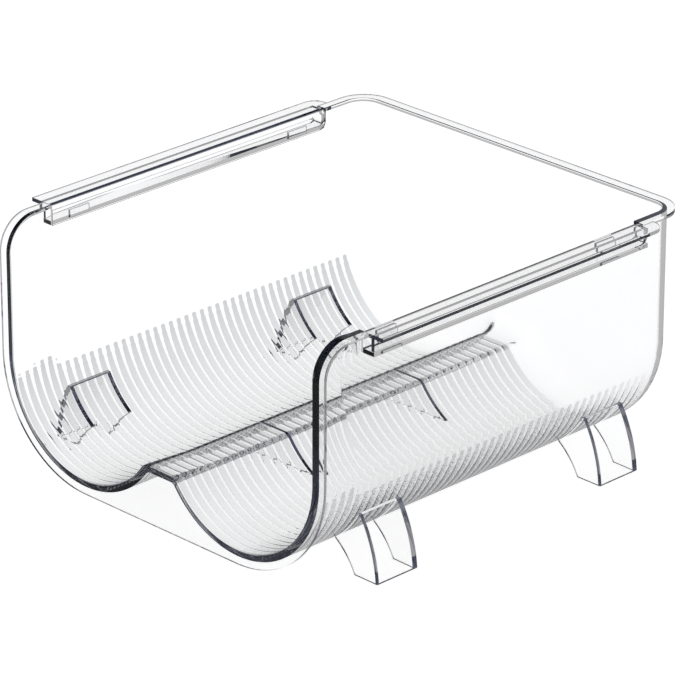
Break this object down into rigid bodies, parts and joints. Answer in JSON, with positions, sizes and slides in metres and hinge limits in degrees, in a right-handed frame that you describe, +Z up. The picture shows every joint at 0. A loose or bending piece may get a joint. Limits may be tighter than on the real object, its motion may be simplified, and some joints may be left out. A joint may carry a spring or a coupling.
{
  "type": "water bottle organizer",
  "caption": "Clear stackable organizer that holds water bottles on their side in half-round troughs, open at the front, with side rails and short feet.",
  "frame": {"origin": "on the surface it stands on, under the middle of its box", "axes": "+X to the right, +Y to the closed back, +Z up; the open front faces -Y"},
  "size_m": [0.2168, 0.224, 0.1164],
  "materials": {
    "tray_clear": "clear and polished",
    "rail_clear": "clear and polished",
    "foot_clear": "clear and polished"
  },
  "bodies": {
    "root": {"tray": "tray_clear", "left_rail": "rail_clear", "right_rail": "rail_clear", "front_left_foot": "foot_clear", "front_right_foot": "foot_clear", "back_left_foot": "foot_clear", "back_right_foot": "foot_clear"}
  },
  "joints": []
}
